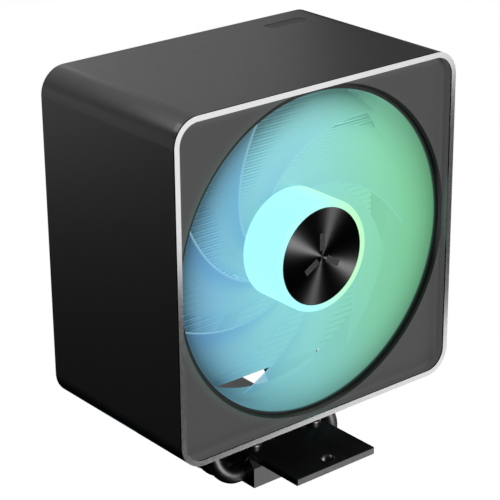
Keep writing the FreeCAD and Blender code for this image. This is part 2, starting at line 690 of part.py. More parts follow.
def make_motor_board():
    keep(ring("board", "{board_radius}", "{tube_outer}", "{board_thick}", FRONT + " + {board_front}"),
         "motor_board")
    side, height = size("led_size"), size("led_height")
    chip = solid_feature("one_led", Part.makeBox(
        side, height, side, Vector(size("led_ring") - side / 2, front + size("board_front") - height,
                                   axis_height - side / 2)))
    count = int(size("led_count"))
    keep(copies("leds", chip, [around_axis(360.0 * number / count) for number in range(count)]), "led_chips")


def make_fan_socket():
    """A four-pole socket on the back of the frame's lower edge, with its pins."""
    width, height, depth = size("socket_width"), size("socket_height"), size("socket_depth")
    wall, middle = size("socket_wall"), size("socket_offset")
    left = middle - width / 2
    bottom = size("shroud_bottom") + size("shroud_wall") + size("socket_lift")
    shell = Part.makeBox(width, depth, height, Vector(left, fan_back, bottom))
    well = Part.makeBox(width - 2 * wall, depth - wall, height - 2 * wall,
                        Vector(left + wall, fan_back + wall, bottom + wall))
    keep(solid_feature("socket_piece", shell.cut(well)), "fan_socket")
    side, pitch, count = size("pin_side"), size("pin_pitch"), int(size("pin_count"))
    pins = [Part.makeBox(side, depth - wall - size("pin_sink"), side,
                         Vector(middle + (number - (count - 1) / 2) * pitch - side / 2, fan_back + wall,
                                bottom + height / 2 - side / 2)) for number in range(count)]
    keep(solid_feature("pin_group", Part.makeCompound(pins)), "socket_pins")


# ---------------------------------------------------------------- fins and heat pipes

def pipe_rows():
    """Each pipe's place along Y at the base."""
    count = int(size("pipe_count"))
    return [(number - (count - 1) / 2) * size("pipe_pitch") for number in range(count)]


def make_fin_stack():
    width, depth, thick = size("fin_width"), size("fin_depth"), size("fin_thick")
    body = doc.addObject("PartDesign::Body", "fin_body")
    plate = new_sketch(body, "fin_outline", "XY_Plane", "0", "{fin_front} + {fin_depth} / 2")
    add_rounded_rectangle(plate, "{fin_width}", "{fin_depth}", "{fin_corner}")
    pad(body, "fin_plate", plate, "{fin_thick}")
    holes = new_sketch(body, "fin_holes", "XY_Plane", "{fin_thick}", "{pipe_shift}")
    for row, place in enumerate(pipe_rows()):
        for side in (-1, 1):
            add_circle(holes, "{pipe_radius}", "%d * {pipe_reach}" % side,
                       "%g * {pipe_pitch}" % (row - (len(pipe_rows()) - 1) / 2),
                       (side * size("pipe_reach"), place))
    pocket(body, "pipe_holes", holes, "2 * {fin_thick}")
    doc.recompute()
    # the folded tabs that hold the fins at their pitch, two on each side
    fin = body.Shape
    tab_height = size("fin_pitch") - size("tab_gap")
    for side in (-1, 1):
        left = width / 2 - thick if side > 0 else -width / 2
        for place in (size("tab_front_share"), size("tab_back_share")):
            corner = Vector(left, size("fin_front") + place * depth, 0)
            fin = fin.fuse(Part.makeBox(thick, size("tab_length"), tab_height, corner))
    template = solid_feature("one_fin", fin.removeSplitter())
    places = [FreeCAD.Placement(Vector(0, 0, size("fin_lowest") + number * size("fin_pitch")), Rotation())
              for number in range(int(size("fin_count")))]
    return keep(copies("fins", template, places), "fin_stack")


def rounded_path(points, radii):
    """Straight runs joined by tangent arcs, one radius for each inner point."""
    edges = []
    start = points[0]
    for index in range(1, len(points) - 1):
        corner = points[index]
        before = (points[index - 1] - corner).normalize()
        after = (points[index + 1] - corner).normalize()
        half = before.getAngle(after) / 2
        trim = radii[index - 1] / math.tan(half)
        enter, leave = corner + before * trim, corner + after * trim
        middle = (before + after).normalize()
        centre = corner + middle * (radii[index - 1] / math.sin(half))
        edges.append(Part.LineSegment(start, enter).toShape())
        edges.append(Part.Arc(enter, centre - middle * radii[index - 1], leave).toShape())
        start = leave
    edges.append(Part.LineSegment(start, points[-1]).toShape())
    return Part.Wire(edges)


def make_heat_pipe(number, row):
    """One pipe: straight under the base, up both sides, leaning back, then upright through the fins."""
    radius, reach = size("pipe_radius"), size("pipe_reach")
    knee = radius + size("pipe_shift") / math.tan(math.radians(size("pipe_lean")))
    back = row + size("pipe_shift")
    top = size("pipe_top")
    half = [Vector(-reach, back, top), Vector(-reach, back, knee), Vector(-reach, row, radius)]
    points = half + [Vector(-point.x, point.y, point.z) for point in reversed(half)]
    bends = [size("pipe_upper_bend"), size("pipe_bend"), size("pipe_bend"), size("pipe_upper_bend")]
    path = rounded_path(points, bends)
    profile = Part.Wire(Part.makeCircle(radius, points[0], Vector(0, 0, -1)))
    tube = path.makePipeShell([profile], True, False)
    expected = math.pi * radius ** 2 * path.Length
    if abs(tube.Volume - expected) > VOLUME_SLACK * expected:
        raise RuntimeError("heat pipe %d has the wrong volume" % number)
    # the stretch in the base is pressed flat against the processor
    flat = Part.makeBox(size("base_width"), 2 * radius, radius,
                        Vector(-size("base_width") / 2, row - radius, 0))
    tips = [Part.makeCone(radius, radius * size("pipe_tip_share"), size("pipe_tip_length"),
                          Vector(side * reach, back, top)) for side in (-1, 1)]
    shape = tube.multiFuse([flat] + tips)
    return keep(solid_feature("pipe_%d" % number, shape), "heat_pipe_%d" % number)


# ---------------------------------------------------------------- base, bar, screws, foam

def screw_places(height):
    return [Vector(x * size("bar_screw_across") / 2, y * size("bar_screw_along") / 2, height)
            for x in (-1, 1) for y in (-1, 1)]


def make_base_block():
    body = doc.addObject("PartDesign::Body", "base_body")
    outline = new_sketch(body, "base_outline", "XY_Plane")
    add_rectangle(outline, "{base_width}", "{base_length}", (37.0, 45.0))
    pad(body, "base_pad", outline, "{base_height}")
    top, end = size("base_height"), size("base_length") / 2
    edges = edges_where(
        body.Shape, lambda point: abs(point.z - top) < NEAR and abs(abs(point.y) - end) < NEAR)
    dress(body, "Chamfer", "end_chamfers", edges, "{base_chamfer}")
    tools = []
    for number, row in enumerate(pipe_rows()):
        groove = doc.addObject("Part::Cylinder", "groove_%d" % number)
        groove.Placement = FreeCAD.Placement(Vector(0, row, 0), Rotation(Vector(0, 1, 0), 90))
        bind(groove, Radius="{pipe_radius}", Height="{base_width}", Placement__Base__x="-{base_width} / 2",
             Placement__Base__z="{pipe_radius}")
        slot = block("slot_%d" % number, "{base_width}", "2 * {pipe_radius}", "{pipe_radius}",
                     "-{base_width} / 2", "%.3f - {pipe_radius}" % row, "0")
        tools += [groove, slot]
    for number, place in enumerate(screw_places(0)):
        hole = doc.addObject("Part::Cylinder", "base_hole_%d" % number)
        hole.Placement.Base = place
        bind(hole, Radius="{bar_screw_radius}", Height="{bar_screw_length}",
             Placement__Base__z="{base_height} + {bar_thick} - {bar_screw_length}")
        tools.append(hole)
    return keep(cut("base_piece", body, fuse("base_cuts", tools)), "base_block")


def make_mounting_bar():
    body = doc.addObject("PartDesign::Body", "bar_body")
    outline = new_sketch(body, "bar_outline", "XY_Plane", "{base_height}")
    add_rectangle(outline, "{base_width}", "{bar_length}", (37.0, 92.0))
    half = size("bar_hole_span") / 2
    for side in (-1, 1):
        add_circle(outline, "{bar_hole_radius}", "0", "%d * {bar_hole_span} / 2" % side, (0, side * half))
    for place in screw_places(0):
        add_circle(outline, "{bar_screw_radius}", "%d * {bar_screw_across} / 2" % math.copysign(1, place.x),
                   "%d * {bar_screw_along} / 2" % math.copysign(1, place.y), (place.x, place.y))
    pad(body, "bar_plate", outline, "{bar_thick}")
    half_w, half_l = size("base_width") / 2, size("bar_length") / 2

    def outer_edge(point):
        return abs(abs(point.x) - half_w) < NEAR or abs(abs(point.y) - half_l) < NEAR
    dress(body, "Chamfer", "bar_edge_break", edges_where(body.Shape, outer_edge), "{edge_break}")
    return keep(body, "mounting_bar")


def make_bar_screws():
    """Round-headed screws with a cross recess."""
    head, rise = size("bar_screw_head"), size("bar_screw_head_height")
    top = size("base_height") + size("bar_thick")
    long, wide, deep = size("bar_screw_slot_length"), size("bar_screw_slot"), size("bar_screw_slot_depth")
    dome = Part.makeCylinder(head, rise)
    upper_edges = [edge for edge in dome.Edges if edge.BoundBox.ZMin > rise - NEAR]
    dome = dome.makeFillet(size("bar_screw_dome"), upper_edges)
    for turn in (0, 90):
        slot = Part.makeBox(long, wide, deep, Vector(-long / 2, -wide / 2, rise - deep))
        slot.rotate(Vector(0, 0, 0), Vector(0, 0, 1), turn)
        dome = dome.cut(slot)
    dome.translate(Vector(0, 0, top))
    stem = Part.makeCylinder(size("bar_screw_radius"), size("bar_screw_length"),
                             Vector(0, 0, top - size("bar_screw_length")))
    screw = solid_feature("one_screw", dome.fuse(stem).removeSplitter())
    return keep(copies("screws", screw, [FreeCAD.Placement(place, Rotation()) for place in screw_places(0)]),
                "bar_screws")


def make_foam_strips():
    """Foam between the fins and the shroud's walls, one strip each side and two on top."""
    width, length = size("foam_width"), size("foam_length")
    top_length = size("foam_top_share") * size("fin_depth")
    middle = size("fin_front") + size("fin_depth") / 2
    side_gap = inner_half_width - size("fin_width") / 2
    fins_top = size("fin_lowest") + (size("fin_count") - 1) * size("fin_pitch") + size("fin_thick")
    ceiling = size("shroud_bottom") + size("shroud_width") - size("shroud_wall")
    strips = []
    for side in (-1, 1):
        low = size("fin_width") / 2 if side > 0 else -inner_half_width
        strips.append(Part.makeBox(side_gap, width, length,
                                   Vector(low, middle - width / 2, axis_height - length / 2)))
        strips.append(Part.makeBox(width, top_length, ceiling - fins_top,
                                   Vector(side * size("foam_top_offset") - width / 2,
                                          middle - top_length / 2, fins_top)))
    return keep(solid_feature("foam_group", Part.makeCompound(strips)), "foam_strips")


# ---------------------------------------------------------------- build, check and write

def build():
    make_shroud()
    make_top_badge()
    make_front_trim()
    make_front_panel()
    make_fan_frame()
    make_fan_washers()
    make_fan_nuts()
    make_impeller()
    make_hub_cap()
    make_cap_emblem()
    make_rotor_yoke()
    make_rotor_magnet()
    make_rotor_shaft()
    make_bearing_parts()
    make_stator()
    make_motor_board()
    make_fan_socket()
    make_fin_stack()
    for number, row in enumerate(pipe_rows(), start=1):
        make_heat_pipe(number, row)
    make_base_block()
    make_mounting_bar()
    make_bar_screws()
    make_foam_strips()
    doc.recompute()


def check():
    """Stop if any object failed, or any finished piece is missing or not valid."""
    for item in doc.Objects:
        if "Invalid" in item.State or "Error" in item.State:
            raise RuntimeError("%s failed: %s" % (item.Name, item.State))
    for item in parts:
        if item.Shape.isNull() or not item.Shape.isValid():
            raise RuntimeError("%s is not a valid shape" % item.Label)
        print("%-20s solids %3d  volume %10.1f" % (item.Label, len(item.Shape.Solids), item.Shape.Volume))


def write():
    os.makedirs("parts", exist_ok=True)
    for item in parts:
        item.Shape.exportStep("parts/%s.step" % item.Label)


build()
check()
write()
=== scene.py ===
"""Looks of the tower cooler: materials, softboxes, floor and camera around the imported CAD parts."""

import bpy
import math
from collections import namedtuple
from mathutils import Matrix, Vector


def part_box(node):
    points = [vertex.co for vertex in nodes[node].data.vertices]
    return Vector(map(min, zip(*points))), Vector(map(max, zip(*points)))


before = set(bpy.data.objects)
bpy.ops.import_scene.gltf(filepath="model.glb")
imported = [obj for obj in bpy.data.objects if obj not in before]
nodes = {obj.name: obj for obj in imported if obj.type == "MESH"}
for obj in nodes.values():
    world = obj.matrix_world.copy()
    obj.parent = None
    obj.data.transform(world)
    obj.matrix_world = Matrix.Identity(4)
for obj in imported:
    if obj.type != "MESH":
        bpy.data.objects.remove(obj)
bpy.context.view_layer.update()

# Places taken from the frame, in metres
shroud_low, shroud_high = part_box("shroud")
impeller_low, impeller_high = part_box("impeller")
AXIS_X = (impeller_low.x + impeller_high.x) / 2
AXIS_Z = (impeller_low.z + impeller_high.z) / 2
BLADE_TIP = (impeller_high.x - impeller_low.x) / 2
PANEL_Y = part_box("front_panel")[0].y
FRAME_BACK_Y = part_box("fan_frame")[1].y
fin_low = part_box("fin_stack")[0]
FIN_FRONT_Y = fin_low.y
HUB_RADIUS = 0.0205
HUB_LIT_BACK_Y = shroud_low.y + 0.0176
OPENING_RADIUS = 0.060
DUCT_RADIUS = 0.0588
WALL = 0.0020
INNER_HALF_WIDTH = shroud_high.x - AXIS_X - WALL
# Slightly more, so that a test against it takes in the inner walls' own faces
INNER_LIMIT = INNER_HALF_WIDTH + 0.0002
bar_low, bar_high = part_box("mounting_bar")
BAR_CENTRE_X = (bar_low.x + bar_high.x) / 2
BAR_CENTRE_Y = (bar_low.y + bar_high.y) / 2
BAR_HOLE_Y = 0.0418
BAR_HOLE_RADIUS = 0.0025
BLADE_COUNT = 7
BLADE_TIP_ANGLE = 146.2
BLADE_SWEEP = 1.08


# ---------------------------------------------------------------- helpers: node materials

def srgb(red, green, blue):
    """A colour read as 0 to 255 display values, as linear RGBA."""
    def linear(value):
        share = value / 255.0
        return share / 12.92 if share <= 0.04045 else ((share + 0.055) / 1.055) ** 2.4
    return (linear(red), linear(green), linear(blue), 1.0)


class Surface:
    """A node material with one Principled shader. Constants go on the shader's own sockets."""

    def __init__(self, name, **constants):
        self.material = bpy.data.materials.new(name)
        self.material.use_nodes = True
        self.tree = self.material.node_tree
        self.shader = self.tree.nodes["Principled BSDF"]
        for socket, value in constants.items():
            self.shader.inputs[socket.replace("_", " ")].default_value = value

    def node(self, kind, **settings):
        made = self.tree.nodes.new(kind)
        for key, value in settings.items():
            setattr(made, key, value)
        return made

    def feed(self, value, socket):
        """Link an output to a socket, or write a constant into it."""
        if isinstance(value, bpy.types.NodeSocket):
            self.tree.links.new(value, socket)
        else:
            socket.default_value = value

    def set(self, name, value):
        self.feed(value, self.shader.inputs[name])

    def math(self, operation, first, second=0.0, third=0.0):
        made = self.node("ShaderNodeMath", operation=operation)
        for value, socket in zip((first, second, third), made.inputs):
            self.feed(value, socket)
        return made.outputs[0]

    def product(self, first, *others):
        """The product of several numbers: 1 where all are 1."""
        for other in others:
            first = self.math("MULTIPLY", first, other)
        return first

    def times(self, first, second):
        """The product of two colours."""
        return self.mix(1.0, first, second, "MULTIPLY")

    def length(self, first, second):
        """The length of the vector with these two components."""
        squares = self.math("ADD", self.math("MULTIPLY", first, first),
                            self.math("MULTIPLY", second, second))
        return self.math("SQRT", squares)

    def away(self, value, centre):
        """How far a number is from a centre, on either side."""
        return self.math("ABSOLUTE", self.math("SUBTRACT", value, centre))

    def true_normal(self):
        return self.split(self.node("ShaderNodeNewGeometry").outputs["True Normal"])

    def object_place(self):
        return self.node("ShaderNodeTexCoord").outputs["Object"]

    def world_place(self):
        return self.node("ShaderNodeNewGeometry").outputs["Position"]

    def split(self, vector):
        made = self.node("ShaderNodeSeparateXYZ")
        self.feed(vector, made.inputs[0])
        return made.outputs

    def stretched(self, vector, scale):
        made = self.node("ShaderNodeMapping")
        self.feed(vector, made.inputs["Vector"])
        made.inputs["Scale"].default_value = scale
        return made.outputs[0]

    def noise(self, scale, detail=3.0, roughness=0.55, vector=None):
        made = self.node("ShaderNodeTexNoise")
        self.feed(self.object_place() if vector is None else vector, made.inputs["Vector"])
        made.inputs["Scale"].default_value = scale
        made.inputs["Detail"].default_value = detail
        made.inputs["Roughness"].default_value = roughness
        return made.outputs["Fac"]

    def span(self, value, low, high, out_low, out_high, smooth=False):
        """A value mapped from one range to another and held at the ends."""
        made = self.node("ShaderNodeMapRange")
        made.interpolation_type = "SMOOTHSTEP" if smooth else "LINEAR"
        for number, socket in zip((value, low, high, out_low, out_high), made.inputs):
            self.feed(number, socket)
        return made.outputs[0]

    def ramp(self, value, stops):
        """A colour ramp from (place, colour) pairs."""
        made = self.node("ShaderNodeValToRGB")
        self.feed(value, made.inputs[0])
        elements = made.color_ramp.elements
        while len(elements) < len(stops):
            elements.new(0.5)
        for element, (place, colour) in zip(elements, stops):
            element.position = place
            element.color = colour
        return made.outputs[0]

    def mix(self, factor, first, second, blend="MIX"):
        made = self.node("ShaderNodeMix", data_type="RGBA", blend_type=blend)
        self.feed(factor, made.inputs["Factor"])
        self.feed(first, made.inputs[6])
        self.feed(second, made.inputs[7])
        return made.outputs[2]

    def tinted(self, colour, spread, scale=60.0, detail=4.0):
        """A base colour with a faint cloudy variation."""
        darker = tuple(channel * (1 - spread) for channel in colour[:3]) + (1.0,)
        lighter = tuple(min(1.0, channel * (1 + spread)) for channel in colour[:3]) + (1.0,)
        self.set("Base Color", self.mix(self.noise(scale, detail), darker, lighter))

    def rough(self, low, high, scale, detail=3.0, vector=None):
        cloud = self.noise(scale, detail, vector=vector)
        self.set("Roughness", self.span(cloud, 0.3, 0.7, low, high))

    def bump(self, height, strength, distance):
        made = self.node("ShaderNodeBump")
        made.inputs["Strength"].default_value = strength
        made.inputs["Distance"].default_value = distance
        self.feed(height, made.inputs["Height"])
        self.set("Normal", made.outputs[0])


def off_axis(s, place):
    """How far a place lies sideways and upwards of the fan's axis."""
    return s.math("SUBTRACT", place[0], AXIS_X), s.math("SUBTRACT", place[2], AXIS_Z)


def from_axis(s, vector):
    """Distance from the fan's axis, in metres, and the separate coordinates."""
    place = s.split(vector)
    return s.length(*off_axis(s, place)), place


# ---------------------------------------------------------------- materials

BLACK = (0.0, 0.0, 0.0, 1.0)
WHITE = (1.0, 1.0, 1.0, 1.0)
# Painted glow of the fan seen through the opening, standing in for the lamps' light: blue on its left,
# cyan in the middle, green on its right
PAINTED_GLOW_STOPS = [
    (0.10, srgb(117, 177, 206)), (0.30, srgb(131, 202, 212)), (0.50, srgb(138, 212, 208)),
    (0.75, srgb(133, 209, 173)), (1.00, srgb(117, 192, 137)),
]
# Painted shade at the opening's rim: the share of the glow that is left there; RIM_REACH inside the rim
# all of it is there
RIM_GLOW = 0.27
RIM_REACH = 0.018
RIM_POWER = 2.4
# Painted shade at the bottom: the share of the glow that is left at the very bottom of the fan
LOW_GLOW = 0.80
# The painted glow leans with depth: sideways and upwards shift for each metre behind the opening
LEAN_ACROSS = -0.82
LEAN_UP = 0.53
# How deep the painted light reaches into the fin stack, and along the shroud's inner walls
FIN_LIT_START_Y = FIN_FRONT_Y + 0.001
FIN_LIT_END_Y = FIN_FRONT_Y + 0.016
WALL_LIT_START_Y = FRAME_BACK_Y + 0.010
WALL_LIT_END_Y = FRAME_BACK_Y + 0.030
# Direction in which the fins come to show through the blades as a comb of painted highlight lines, and
# from where to where
COMB_ACROSS = -0.6
COMB_UP = 0.8
COMB_START = 0.012
COMB_FULL = 0.040
# Depth of the second painted pale highlight line on each fin, halfway between two front edges as seen
# from above
SECOND_PAINTED_LINE_Y = FIN_FRONT_Y + 0.00215
# Painted light: the panel's grey as it is seen, emitted by the wall in front of the panel, and a grey
# emitted near the panel's outer corner to lift its shade
RECESS_PAINTED_GREY = (0.058, 0.058, 0.058, 1.0)
CORNER_PAINTED_LIGHT = (0.028, 0.028, 0.028, 1.0)
CORNER_WIDTH = 0.004


# The lamps' light as it is painted at a place: its colour, the place's distance from the axis, the
# place, and how far it lies sideways and upwards of the axis once it is carried to the opening's plane
# along the lean
Light = namedtuple("Light", "colour radius place across up")


def painted_lamp_light(s):
    """The lamps' light inside the fan, painted on as colour by place, with painted shade towards the rim
    and the bottom.
    """
    radius, place = from_axis(s, s.world_place())
    depth = s.math("SUBTRACT", place[1], PANEL_Y)
    across, up = off_axis(s, place)
    across = s.math("MULTIPLY_ADD", depth, LEAN_ACROSS, across)
    up = s.math("MULTIPLY_ADD", depth, LEAN_UP, up)
    share = s.span(across, -OPENING_RADIUS, OPENING_RADIUS, 0.0, 1.0)
    # painted shade: the glow darkens towards the opening's rim and towards the bottom
    outward = s.span(s.length(across, up), OPENING_RADIUS - RIM_REACH, OPENING_RADIUS, 0.0, 1.0)
    rim = s.math("MULTIPLY_ADD", s.math("POWER", outward, RIM_POWER), RIM_GLOW - 1.0, 1.0)
    low = s.span(up, -OPENING_RADIUS, 0.0, LOW_GLOW, 1.0)
    colour = s.times(s.ramp(share, PAINTED_GLOW_STOPS), grey(s, s.product(rim, low)))
    return Light(colour, radius, place, across, up)


def upper_left(s, light):
    """From 0 to 1 towards the fan's upper left, where the fins show through the blades as a comb."""
    upward = s.math("MULTIPLY", light.up, COMB_UP)
    toward = s.math("MULTIPLY_ADD", light.across, COMB_ACROSS, upward)
    return s.span(toward, COMB_START, COMB_FULL, 0.0, 1.0)


def grey(s, value):
    """A number from 0 to 1 as a grey colour, to multiply with."""
    return s.ramp(value, [(0.0, BLACK), (1.0, WHITE)])


def paint_light_in_stack(s, colour, share, depth, most=1.0):
    """Paint the colour on as emitted light where share is 1, fading away into the fin stack."""
    reach = s.span(depth, FIN_LIT_START_Y, FIN_LIT_END_Y, most, 0.0, smooth=True)
    s.set("Emission Color", s.times(colour, grey(s, s.product(share, reach))))


def shroud_black():
    """Satin black metal; the lamps' light on its inner walls behind the fan is painted on as emission.
    """
    s = Surface("shroud_black", Metallic=0.0, Specular_IOR_Level=0.5, Emission_Strength=1.0)
    s.tinted((0.047, 0.047, 0.049), 0.05, 40.0)
    s.rough(0.28, 0.32, 300.0)
    s.bump(s.noise(5200.0, 2.0), 0.01, 0.0001)
    light = painted_lamp_light(s)
    place = light.place
    beside = s.math("LESS_THAN", s.away(place[0], AXIS_X), INNER_LIMIT)
    above = s.math("GREATER_THAN", place[2], shroud_low.z + WALL - 0.0001)
    below = s.math("LESS_THAN", place[2], shroud_high.z - WALL - 0.003)
    behind = s.math("GREATER_THAN", place[1], FRAME_BACK_Y)
    reach = s.span(place[1], WALL_LIT_START_Y, WALL_LIT_END_Y, 0.95, 0.0, smooth=True)
    # painted light: the fan's glow on the inner walls, fading with depth
    glow = s.times(light.colour, grey(s, s.product(beside, above, below, behind, reach)))
    # painted light: the wall in front of the panel emits the panel's grey, so that it reads as part of
    # the panel
    between = s.math("LESS_THAN", s.away(place[2], AXIS_Z), INNER_LIMIT)
    ahead = s.math("LESS_THAN", place[1], PANEL_Y)
    s.set("Emission Color", s.mix(s.product(beside, between, ahead), glow, RECESS_PAINTED_GREY))
    return s.material


def trim_bright():
    """Bright metal; the sides that face the recess get a painted dark shade, to read as dark as the
    panel.
    """
    s = Surface("trim_bright", Metallic=1.0)
    place = s.split(s.object_place())
    beside = s.math("LESS_THAN", s.away(place[0], AXIS_X), INNER_LIMIT)
    between = s.math("LESS_THAN", s.away(place[2], AXIS_Z), INNER_LIMIT)
    # painted shade: a dark base colour on the trim's sides that face the recess
    sideways = s.math("LESS_THAN", s.math("ABSOLUTE", s.true_normal()[1]), 0.5)
    metal = s.mix(s.noise(90.0, 4.0), (0.84, 0.84, 0.85, 1), (0.88, 0.88, 0.89, 1))
    s.set("Base Color", s.mix(s.product(beside, between, sideways), metal, (0.10, 0.10, 0.10, 1)))
    s.rough(0.11, 0.14, 500.0)
    s.bump(s.noise(3000.0, 2.0), 0.01, 0.0001)
    return s.material


def panel_black():
    """Grey-black plate with a painted dark rim as shade, and a little painted stray light from the fan
    round the opening.
    """
    s = Surface("panel_black", Metallic=0.0, Emission_Strength=1.0)
    s.rough(0.42, 0.50, 900.0)
    s.bump(s.noise(5200.0, 2.0), 0.08, 0.0001)
    radius, place = from_axis(s, s.object_place())
    # painted light: a faint stray glow from the fan round the opening, greenest on the left
    near = s.span(radius, OPENING_RADIUS, OPENING_RADIUS + 0.004, 1.0, 0.0, smooth=True)
    side = s.span(place[0], -0.06, 0.06, 0.0, 1.0)
    glow = s.ramp(side, [(0.0, (0.010, 0.034, 0.026, 1)), (0.5, (0.006, 0.010, 0.005, 1)),
                         (1.0, (0.001, 0.004, 0.002, 1))])
    # painted light: the corner with the recess's wall would be too dark without a little emitted light
    # of its own
    outward = s.math("MAXIMUM", s.away(place[0], AXIS_X), s.away(place[2], AXIS_Z))
    margin = s.span(outward, INNER_HALF_WIDTH - CORNER_WIDTH, INNER_HALF_WIDTH, 0.0, 1.0, smooth=True)
    edge = s.mix(margin, BLACK, CORNER_PAINTED_LIGHT)
    s.set("Emission Color", s.mix(1.0, s.mix(near, BLACK, glow), edge, "ADD"))
    # painted shade: the opening's dark rim is painted into the base colour, widest on the right
    narrowed = s.math("MULTIPLY_ADD", side, -0.0010, radius)
    rim = s.span(narrowed, OPENING_RADIUS + 0.0002, OPENING_RADIUS + 0.0006, 1.0, 0.0)
    cloud = s.mix(s.noise(30.0, 4.0), (0.101, 0.101, 0.102, 1), (0.107, 0.107, 0.108, 1))
    s.set("Base Color", s.mix(rim, cloud, (0.010, 0.010, 0.010, 1)))
    s.set("Specular IOR Level", s.span(rim, 0.0, 1.0, 0.5, 0.1))
    return s.material


def badge_grey():
    """Matt dark plastic of the inlay on the top."""
    s = Surface("badge_grey", Specular_IOR_Level=0.4)
    s.tinted((0.040, 0.040, 0.041), 0.06, 300.0)
    s.rough(0.50, 0.60, 1200.0)
    s.bump(s.noise(4000.0, 2.0), 0.15, 0.0001)
    return s.material


def frame_black():
    """Black plastic; the lamps' light on the duct's inside and the struts is painted on as emission."""
    s = Surface("frame_black", Specular_IOR_Level=0.5, Emission_Strength=1.0)
    s.tinted((0.012, 0.012, 0.013), 0.10, 90.0)
    s.rough(0.26, 0.36, 800.0)
    s.bump(s.noise(2600.0, 3.0), 0.06, 0.0001)
    light = painted_lamp_light(s)
    inside = s.span(light.radius, DUCT_RADIUS + 0.0001, DUCT_RADIUS + 0.0004, 1.0, 0.0)
    deep = s.span(light.place[1], PANEL_Y + 0.0014, PANEL_Y + 0.0024, 0.0, 1.0, smooth=True)
    s.set("Emission Color", s.times(light.colour, grey(s, s.product(inside, deep))))
    return s.material


def blade_share(s, radius, place):
    """0 at a blade's leading edge, rising to 1 at the next blade's, turning with the rotor."""
    across, up = off_axis(s, place)
    angle = s.math("ARCTAN2", up, across)
    inward = s.math("LOGARITHM", s.math("DIVIDE", BLADE_TIP, radius), math.e)
    swept = s.math("MULTIPLY", inward, BLADE_SWEEP)
    turned = s.math("SUBTRACT", s.math("SUBTRACT", angle, swept), math.radians(BLADE_TIP_ANGLE))
    pitch = 2 * math.pi / BLADE_COUNT
    return s.math("FRACT", s.math("DIVIDE", s.math("ADD", turned, 4 * math.pi), pitch))


def blade_colour(s, light, along, left, edge):
    """The painted light in the blades: painted bluer along each leading edge, which is itself a painted
    pale highlight line.
    """
    tint = s.ramp(along, [(0.0, (0.66, 0.77, 0.98, 1)), (0.16, (0.76, 0.86, 0.99, 1)),
                          (0.40, (1.0, 1.0, 1.0, 1)), (0.75, (1.03, 1.03, 1.0, 1)),
                          (1.0, (0.84, 0.92, 0.99, 1))])
    disc = s.times(light.colour, s.mix(left, WHITE, tint))
    return s.mix(edge, disc, srgb(168, 224, 240))


def blade_cover(s, light, radius, along, left):
    """How much a blade hides: less at its tip, and in its rear part at the fan's upper left."""
    root = s.span(radius, HUB_RADIUS + 0.0001, HUB_RADIUS + 0.0016, 1.0, 0.90)
    tip = s.span(radius, 0.040, BLADE_TIP, 1.0, s.span(left, 0.1, 1.0, 0.95, 0.50), smooth=True)
    rear_part = s.span(along, 0.30, 0.55, 0.0, 1.0)
    past_hub = s.span(radius, HUB_RADIUS + 0.002, HUB_RADIUS + 0.008, 0.0, 1.0)
    thin = s.product(upper_left(s, light), rear_part, past_hub)
    return s.product(root, tip, s.span(thin, 0.0, 1.0, 1.0, 0.36))


def impeller_frosted():
    """Frosted blades with the lamps' light painted into them as emission, on a hub wall painted to glow
    brightly in front.
    """
    s = Surface("impeller_frosted", Specular_IOR_Level=0.35, Emission_Strength=1.0)
    s.set("Base Color", s.mix(s.noise(120.0), (0.03, 0.05, 0.05, 1), (0.04, 0.06, 0.06, 1)))
    s.rough(0.38, 0.46, 500.0)
    light = painted_lamp_light(s)
    radius, place = from_axis(s, s.object_place())
    along = blade_share(s, radius, place)
    left = s.span(light.across, -0.045, 0.010, 1.0, 0.10)
    # painted highlight: the leading edges are painted as pale lines of light, most on the left
    arc = s.product(along, 2 * math.pi / BLADE_COUNT, radius)
    edge = s.product(s.span(arc, 0.0006, 0.0013, 1.0, 0.0), s.span(left, 0.1, 1.0, 0.10, 0.45))
    blades = blade_colour(s, light, along, left, edge)
    # painted light: the hub wall's front glows cyan on the left to pale green on the right
    hub_share = s.span(light.place[0], AXIS_X - 0.006, AXIS_X + 0.016, 0.0, 1.0, smooth=True)
    hub = s.ramp(hub_share, [(0.0, srgb(172, 255, 255)), (1.0, srgb(188, 252, 200))])
    on_hub = s.span(radius, HUB_RADIUS + 0.0001, HUB_RADIUS + 0.0003, 1.0, 0.0)
    ahead = s.span(place[1], HUB_LIT_BACK_Y - 0.0002, HUB_LIT_BACK_Y + 0.0002, 1.0, 0.0)
    s.set("Emission Color", s.mix(s.product(on_hub, ahead), blades, hub))
    s.set("Alpha", s.math("MAXIMUM", blade_cover(s, light, radius, along, left), edge))
    return s.material


def cap_spun():
    """Metal with fine turned rings, which draw the lamps' reflections out into wedges."""
    s = Surface("cap_spun", Metallic=1.0, Anisotropic=0.97, Anisotropic_Rotation=0.25)
    radius, _ = from_axis(s, s.object_place())
    combined = s.node("ShaderNodeCombineXYZ")
    s.feed(radius, combined.inputs[0])
    rings = s.noise(9000.0, 2.0, vector=combined.outputs[0])
    s.set("Base Color", s.mix(rings, (0.24, 0.24, 0.242, 1), (0.32, 0.32, 0.322, 1)))
    s.set("Roughness", s.span(rings, 0.3, 0.7, 0.36, 0.42))
    s.bump(rings, 0.05, 0.00005)
    tangent = s.node("ShaderNodeTangent", direction_type="RADIAL", axis="Y")
    s.set("Tangent", tangent.outputs[0])
    return s.material


def plain(name, colour, rough=(0.4, 0.5), metallic=0.0, spread=0.08, cloud=120.0,
          grain=2500.0, grain_strength=0.08, **constants):
    """A finish with cloudy colour, uneven gloss and a fine grain."""
    s = Surface(name, Metallic=metallic, **constants)
    s.tinted(colour, spread, cloud)
    s.rough(rough[0], rough[1], 500.0)
    s.bump(s.noise(grain, 2.0), grain_strength, 0.0001)
    return s.material


